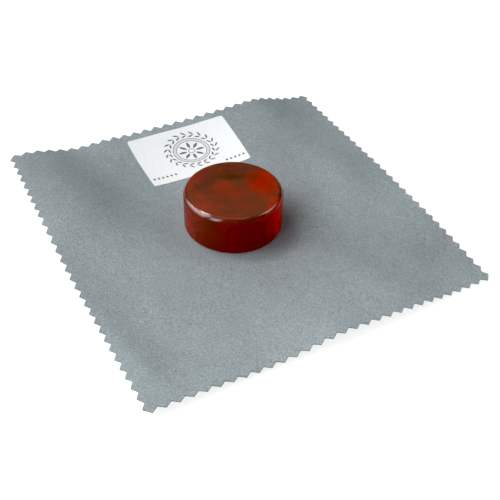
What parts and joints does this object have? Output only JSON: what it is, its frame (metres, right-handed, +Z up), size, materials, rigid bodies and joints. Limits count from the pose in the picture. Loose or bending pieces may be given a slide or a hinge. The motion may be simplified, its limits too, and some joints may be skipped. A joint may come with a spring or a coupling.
{
  "type": "rosin cake with wrapping cloth",
  "caption": "Round cake of dark amber rosin for bow hair, resting loose on a square grey suede-feel cloth with pinked edges and a bonded printed label.",
  "frame": {"origin": "centre of the flat cloth, on its underside, which is the table's surface", "axes": "+X along the cloth's front edge, +Y towards the edge beside the label, +Z up"},
  "size_m": [0.15, 0.15, 0.0176],
  "materials": {
    "rosin": "cast rosin: clear, glassy and very dark amber red, with fire-polished faces",
    "cloth": "short-napped microfibre suede, matt blue grey, edges cut with pinking blades",
    "label": "smooth white printed film with a plain grey ornament",
    "bond_film": "thin hot-melt film"
  },
  "bodies": {
    "cloth": {"pinked_cloth": "cloth", "label_bond_film": "bond_film", "cloth_label": "label"},
    "cake": {"rosin_cake": "rosin"}
  },
  "joints": [
    {"name": "cake_lift", "type": "slide", "parent": "cloth", "child": "cake", "axis": [0, 0, 1], "range_m": [0, 0.04]}
  ]
}
